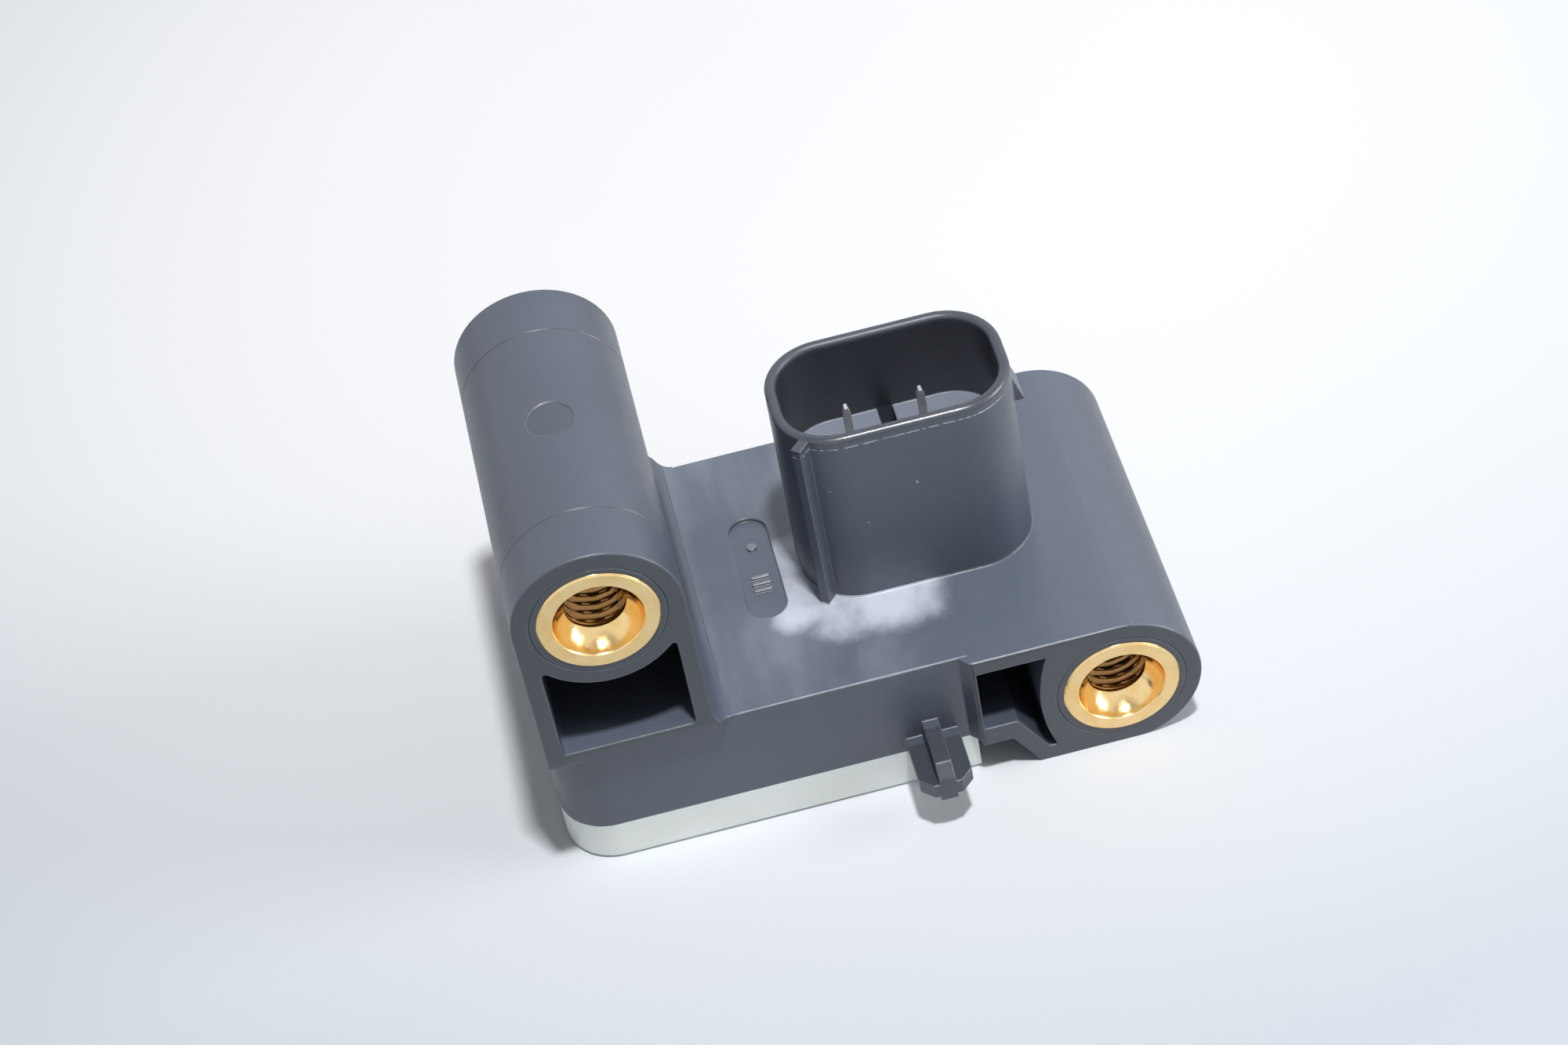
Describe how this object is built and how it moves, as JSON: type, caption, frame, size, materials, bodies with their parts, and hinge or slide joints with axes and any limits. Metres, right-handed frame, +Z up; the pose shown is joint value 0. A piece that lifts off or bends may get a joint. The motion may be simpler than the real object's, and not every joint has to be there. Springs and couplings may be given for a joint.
{
  "type": "crash sensor",
  "caption": "Front impact sensor: a dark moulded body with tall and low screw bosses, an open plug shroud, a locating peg and a pale welded base.",
  "frame": {"origin": "middle of the part's bounding rectangle, on the table under the base cover", "axes": "+Z up through the plug, -Y out of the mounting face, +X from the tall boss to the low boss"},
  "size_m": [0.0548, 0.038, 0.0361],
  "materials": {
    "housing_plastic": "dark blue-grey moulded plastic, satin with a fine texture",
    "cover_plastic": "natural off-white plastic, slightly translucent",
    "insert_brass": "turned brass",
    "tinned_terminal": "tin plated copper alloy",
    "solder": "dull solder",
    "board_laminate": "glass laminate under a green mask",
    "chip_epoxy": "moulded epoxy",
    "capacitor_ceramic": "fired ceramic with tinned ends"
  },
  "bodies": {
    "root": {"housing": "housing_plastic", "base_cover": "cover_plastic", "tall_boss_insert": "insert_brass", "low_boss_insert": "insert_brass", "terminal_left": "tinned_terminal", "terminal_right": "tinned_terminal", "terminal_solder_joints": "solder", "circuit_board": "board_laminate", "accelerometer_package": "chip_epoxy", "accelerometer_leads": "tinned_terminal", "supply_capacitor": "capacitor_ceramic", "bus_capacitor": "capacitor_ceramic", "filter_capacitor": "capacitor_ceramic", "series_resistor_left": "chip_epoxy", "series_resistor_right": "chip_epoxy", "clamp_diode": "chip_epoxy"}
  },
  "joints": []
}
